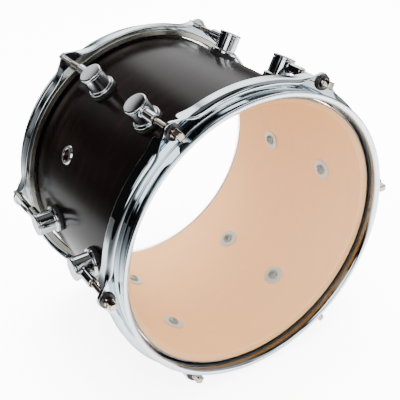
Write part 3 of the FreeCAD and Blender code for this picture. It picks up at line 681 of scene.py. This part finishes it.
# The band on the batter film is a painted highlight along its bend over the bearing edge; on the resonant
# film it is milky haze.
films = {"batter": clear_film("batter_film", edge_haze_and_highlight=0.35, edge_band_start=land_out,
                              edge_band_full=land_out + bend_width),
         "resonant": clear_film("resonant_film", edge_haze_and_highlight=0.6, edge_band_start=inner_radius - milky_in,
                                edge_band_full=inner_radius + milky_out)}
channel_metal = plated("channel_aluminium", (0.46, 0.44, 0.38), (0.34, 0.32, 0.28),
                       gloss=0.22, haze=0.12, ripple_depth=0.00003)
resin = speckled("cured_resin", 700.0, 2.0, (0.50, 0.40, 0.22), (0.66, 0.56, 0.36), gloss=0.2, haze=0)
plies = {"batter_film_inner": ("batter", batter_ply, 0), "batter_film_outer": ("batter", batter_ply, 1),
         "resonant_film": ("resonant", resonant_ply, 0)}
for node, (end, ply, layer) in plies.items():
    faces = rounded_outline(film_line(ply * layer) + film_line(ply * (layer + 1))[::-1])
    points = turned(at_depth(ends[end], faces[:, 0]), faces[:, 1], head_angles)
    add_piece(f"{node}_clear", [joined(points, round_columns=False)],
              films[end], f"{end}_head", "clear_film", node)
channel_low, channel_floor = flange_depth + channel_height, flange_depth + channel_height - channel_wall
channel_lip = flange_depth + channel_inner_drop
outer_face, inner_face = channel_outer - channel_wall, channel_inner + channel_wall
channel = rounded_outline([
    (channel_lip, channel_inner, channel_edge), (channel_low, channel_inner, channel_bend),
    (channel_low, channel_outer, channel_bend), (flange_depth, channel_outer, channel_edge),
    (flange_depth, outer_face, channel_edge), (channel_floor, outer_face, channel_edge),
    (channel_floor, inner_face, channel_edge), (channel_lip, inner_face, channel_edge)], steps=4)
for end, side in ends.items():
    points = turned(at_depth(side, channel[:, 0]), channel[:, 1], head_angles)
    add_piece(f"{end}_flesh_hoop_rolled", [joined(points)], channel_metal, f"{end}_head", "aluminium_channel",
              f"{end}_flesh_hoop")
    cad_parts[f"{end}_resin"].material_slots[0].material = resin

# Hoops: at each end one sheet of steel, pressed into a collar, a rolled rim, a flange that bears on the head
# and a skirt, with six swept ears for the tension rods and a slot in the skirt under each ear.
# They are chromed all over, with painted shade low down inside the collar: the chrome is darkened there, most
# next to the head.
hoop_radius = axis_height
collar_gap, rim_reach = 0.0021, 0.0055
collar_radius = shell_radius + collar_gap
rim_radius = collar_radius + rim_reach
hoop_sheet, rim_rise, skirt_depth = 0.0023, 0.0095, 0.018
ear_depth, ear_tip, ear_sweep, ear_slot_half, slot_corner = 0.0085, 0.0076, 0.060, 0.0105, 0.005
sweep_circle = hoop_radius + ear_sweep
sweep_out = (sweep_circle ** 2 - (ear_tip + ear_sweep) ** 2 + rod_circle ** 2) / (2 * rod_circle)
sweep_angle = math.acos(sweep_out / sweep_circle)
CORNER_POINTS = ARC_STEPS + 2


def ear_reach(off):
    """How far out the skirt lies at an angle off the lug line: on its own circle, on an ear's round tip,
    where a ray from the axis meets a circle about the rod, or on the hollow sweep, where it meets a circle
    that touches the other two."""
    tip = rod_circle * np.cos(off) + np.sqrt(np.maximum(ear_tip ** 2 - (rod_circle * np.sin(off)) ** 2, 0))
    lean = off - sweep_angle
    sweep = sweep_circle * np.cos(lean) - np.sqrt(
        np.maximum(ear_sweep ** 2 - (sweep_circle * np.sin(lean)) ** 2, 0))
    touch_share = ear_tip / (ear_tip + ear_sweep)
    touch_across = sweep_circle * math.sin(sweep_angle) * touch_share
    touch_angle = math.atan2(touch_across, rod_circle + (sweep_out - rod_circle) * touch_share)
    return np.where(off < touch_angle, tip, np.where(off < sweep_angle, sweep, hoop_radius))


def eased(share):
    """A share cut off at 0 and 1 that starts and stops softly: s squared times (3 - 2 s)."""
    share = np.clip(share, 0, 1)
    return share ** 2 * (3 - 2 * share)


hoop_chrome = plated("hoop_chrome", (0.71, 0.79, 0.84), (0.62, 0.70, 0.75),
                     gloss=0.012, haze=0.04, ripple_depth=0.00001)
# Painted shade low inside the collar: darkest next to the head, paler higher up the wall.
collar_shade_dark, collar_shade_pale = (0.12, 0.12, 0.115, 1), (0.21, 0.25, 0.28, 1)
collar_shade_full, collar_shade_stop = edge_place + 0.0060, edge_place + 0.0090
wall_face, wall_behind = collar_radius + 0.0004, collar_radius + 0.0016
tree = hoop_chrome.node_tree
shader = tree.nodes["Principled BSDF"]
centred, radius = from_axis(tree)
place = add_math(tree, "ABSOLUTE", add_node(tree, "ShaderNodeSeparateXYZ", {0: centred}).outputs["Y"])
low_wall = soft_step(tree, place, collar_shade_stop, collar_shade_full)
inner_wall = soft_step(tree, radius, wall_behind, wall_face)
collar_shade = add_math(tree, "MULTIPLY", low_wall, inner_wall)
clean_tone = shader.inputs["Base Color"].links[0].from_socket
shaded_tone = mixed(tree, soft_step(tree, place, edge_place, collar_shade_full), collar_shade_dark, collar_shade_pale)
tree.links.new(mixed(tree, collar_shade, clean_tone, shaded_tone), shader.inputs["Base Color"])

wall_radius = collar_radius + hoop_sheet
flange_top = flange_depth - hoop_sheet
rim_under = hoop_sheet - rim_rise
skirt_inner = hoop_radius - hoop_sheet
rim_roll, rim_edge, neck_round, wall_foot, collar_foot = 0.0043, 0.0011, 0.0010, 0.0014, 0.0020
skirt_bend, skirt_edge, ear_bend, ear_edge = 0.0048, 0.0010, 0.0008, 0.0004


def hoop_outline(low, bend, edge):
    """The hoop's section with a skirt that ends at a depth, with its bend and its edges rounded."""
    return rounded_outline([
        (-rim_rise, collar_radius, rim_roll), (-rim_rise, rim_radius, rim_edge),
        (rim_under, rim_radius, rim_edge), (rim_under, wall_radius, neck_round),
        (flange_top, wall_radius, wall_foot), (flange_top, hoop_radius, bend), (low, hoop_radius, edge),
        (low, skirt_inner, edge), (flange_depth, skirt_inner, edge),
        (flange_depth, collar_radius, collar_foot)])


skirt_line = hoop_outline(skirt_depth, skirt_bend, skirt_edge)
ear_line = hoop_outline(ear_depth, ear_bend, ear_edge)
on_skirt = np.repeat([0, 0, 0, 0, 0, 1, 1, 1, 1, 0], CORNER_POINTS)
on_bend = np.repeat([0, 0, 0, 0, 0, 1, 0, 0, 0, 0], CORNER_POINTS)
slot_side = math.asin(ear_slot_half / rod_circle)
slot_near, slot_far, slot_fade = 0.9 * slot_side, 1.5 * slot_side, 0.12
ear_span, bend_swell = sweep_angle * 1.05, 0.004
stops = (-ear_span, -slot_far, -slot_near, slot_near, slot_far, ear_span, lug_step - ear_span)
SPAN_STEPS = (14, 22, 40, 22, 14, 28)
sixth = np.concatenate([np.linspace(start, stop, steps, endpoint=False)
                        for start, stop, steps in zip(stops, stops[1:], SPAN_STEPS)])
off = np.tile(np.abs((sixth + lug_step / 2) % lug_step - lug_step / 2), LUGS_AN_END)[:, None]
hoop_angles = (lug_angles[:, None] + sixth).ravel()
swell = ear_reach(off) - hoop_radius
slot_share = eased((1 + slot_fade / 2 - off / slot_side) / slot_fade)
into_corner = np.clip(1 - (off - slot_side) * rod_circle / slot_corner, 0, 1)
corner_share = (1 - np.sqrt(1 - into_corner ** 2)) * slot_corner / (skirt_depth - ear_depth)
ear_share = np.where(on_bend, eased(swell / bend_swell), np.maximum(slot_share, corner_share))
hoop_depth = skirt_line[:, 0] + ear_share * (ear_line - skirt_line)[:, 0]
hoop_out = skirt_line[:, 1] + ear_share * (ear_line - skirt_line)[:, 1] + on_skirt * swell
for end, side in ends.items():
    add_piece(f"{end}_hoop_chromed", [joined(turned(at_depth(side, hoop_depth), hoop_out, hoop_angles))],
              hoop_chrome, f"{end}_hoop", "chromed_steel", f"{end}_hoop")

# Tension rods: steel, plated, each with a threaded end, a flange and a square head for the drum key.
# Under the head a steel washer lies on a nylon one, which keeps the rod from working loose.
rod_radius, rod_tip_gap, rod_tip_face = 0.0024, 0.0078, 0.0001
rod_flange_radius, rod_flange_height = 0.0042, 0.0018
washer_height, steel_washer_radius, nylon_washer_radius, washer_bore = 0.0012, 0.0066, 0.0069, 0.0027
washer_bore_edge, washer_edge, washer_hairline = 0.0001, 0.0003, 0.00004
washers_top = flange_top - 2 * washer_height
rod_seat, rod_face = washers_top - washer_hairline, washers_top - rod_flange_height
head_half, head_chamfer, head_height, head_foot = 0.00315, 0.0008, 0.0075, 0.0003
cone_slope, shoulder_drop, seat_edge = 0.0004, 0.0009, 0.0003
head_top = rod_face - head_height
thread_pitch, thread_deep = 0.0254 / 32, 0.0004
THREAD_ROWS = 6
SQUARENESS = 9
ROD_STEPS = 40
rod_plate = plated("rod_nickel", (0.54, 0.47, 0.40), (0.40, 0.34, 0.28),
                   gloss=0.06, haze=0.06, ripple_depth=0.00002)
dark_steel = plated("washer_dark_steel", (0.07, 0.065, 0.06), (0.04, 0.036, 0.033),
                    gloss=0.25, haze=0.15, ripple_depth=0.00003)
nylon = speckled("washer_nylon", 600.0, 2.0, (0.004, 0.004, 0.004), (0.012, 0.012, 0.012),
                 gloss=0.3, haze=0.2)
# The rows of the head: depth, radius, and 1 where the row is square or 0 where it is round
head_rows = [
    (head_top, 0, 1), (head_top, head_half - head_chamfer, 1), (head_top + head_chamfer, head_half, 1),
    (rod_face, head_half, 1), (rod_face, head_half + head_foot, 0),
    (rod_face + cone_slope, rod_flange_radius - cone_slope, 0),
    (rod_face + shoulder_drop, rod_flange_radius, 0), (rod_seat - seat_edge, rod_flange_radius, 0),
    (rod_seat, rod_flange_radius - seat_edge, 0), (rod_seat, rod_radius, 0)]
around = np.linspace(0, math.tau, ROD_STEPS, endpoint=False)
square_sum = np.abs(np.cos(around)) ** SQUARENESS + np.abs(np.sin(around)) ** SQUARENESS
square_share = square_sum ** (-1 / SQUARENESS)
for end, side in ends.items():
    thread_start, rod_tip = lug_depths[end] - tube_reach, lug_depths[end] - rod_tip_gap
    turns = (rod_tip - thread_start) / thread_pitch
    thread_depths = np.linspace(thread_start, rod_tip, round(turns * THREAD_ROWS))
    tail_rows = [(rod_tip + rod_tip_face, rod_radius - thread_deep, 0), (rod_tip + rod_tip_face, 0, 0)]
    thread_rows = np.stack(np.broadcast_arrays(thread_depths, rod_radius, 0), -1)
    rows = np.concatenate([head_rows, thread_rows, tail_rows])
    depth, radius, squared = rows.T[:, :, None]
    wave = np.abs(2 * ((depth / thread_pitch - around / math.tau) % 1) - 1)
    fade = np.clip((depth - thread_start) / thread_pitch, 0, 1) * (depth <= rod_tip)
    section = radius * (1 + squared * (square_share - 1)) - thread_deep * wave * fade
    groups = {"steel": [], "nylon": []}
    for number, angle in enumerate(lug_angles, start=1):
        points = stood(section * np.cos(around), at_depth(side, depth),
                       rod_circle + section * np.sin(around), angle)
        add_piece(f"{end}_rod_{number}_threaded", [joined(points, round_rows=False)], rod_plate,
                  f"{end}_rod_{number}", "chromed_rod", f"{end}_rod_{number}")
        for kind, low, reach in (("nylon", flange_top, nylon_washer_radius),
                                 ("steel", flange_top - washer_height, steel_washer_radius)):
            high = low - washer_height
            disc = rounded_outline([
                (low, washer_bore, washer_bore_edge), (low, reach, washer_edge), (high, reach, washer_edge),
                (high, washer_bore, washer_bore_edge)], steps=3)
            across, lift, deep = spun(disc[:, 0], disc[:, 1], WASHER_STEPS)
            groups[kind].append(joined(stood(across, at_depth(side, deep), rod_circle + lift, angle)))
    add_piece(f"{end}_steel_washers_turned", groups["steel"], dark_steel, f"{end}_hoop", "plain_steel",
              f"{end}_steel_washers")
    add_piece(f"{end}_nylon_washers_moulded", groups["nylon"], nylon, f"{end}_hoop", "black_nylon",
              f"{end}_nylon_washers")
